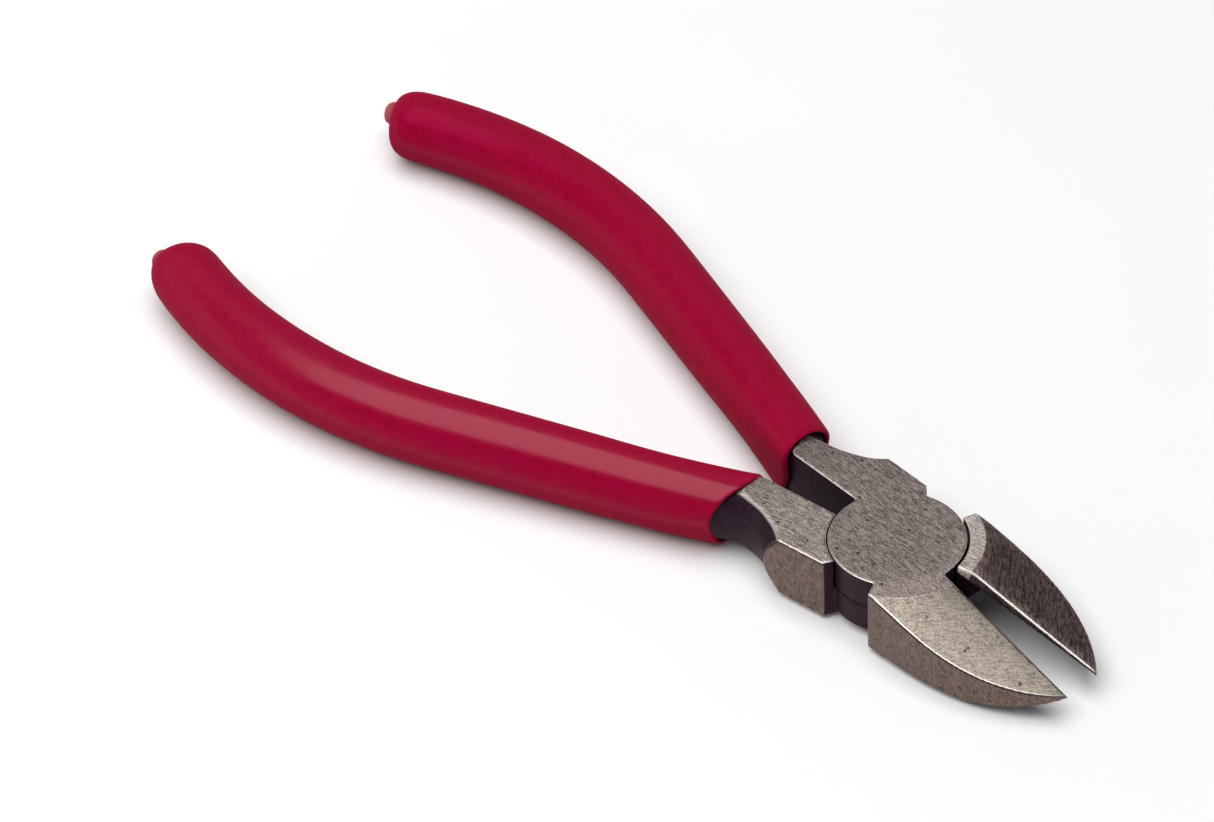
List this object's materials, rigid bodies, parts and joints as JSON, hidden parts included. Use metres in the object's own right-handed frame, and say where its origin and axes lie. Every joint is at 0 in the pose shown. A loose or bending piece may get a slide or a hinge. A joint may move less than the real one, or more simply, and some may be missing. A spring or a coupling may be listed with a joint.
{
  "type": "diagonal cutting pliers",
  "caption": "Diagonal cutting pliers with a lap joint, curved bevelled jaws, ground steel head and long curved dipped vinyl grips.",
  "frame": {"origin": "on the pivot axis, in the plane of the hub's flat underside", "axes": "+X from the pivot towards the jaw tips, +Y towards the handle of the upper half, +Z out of the ground top face along the pivot axis"},
  "size_m": [0.1564, 0.0652, 0.0113],
  "materials": {
    "ground_steel": "belt-ground faces, black oxide on the forged neck and in the joint",
    "rivet_steel": "ground flush with the head",
    "red_vinyl": "dip-coated glossy crimson vinyl"
  },
  "bodies": {
    "lower": {"lower_half": "ground_steel", "pivot_rivet": "rivet_steel", "lower_grip": "red_vinyl"},
    "upper": {"upper_half": "ground_steel", "upper_grip": "red_vinyl"}
  },
  "joints": [
    {"name": "pivot", "type": "hinge", "parent": "lower", "child": "upper", "pos_m": [0, 0, 0], "axis": [0, 0, 1], "range_deg": [-42, 9.6]}
  ]
}
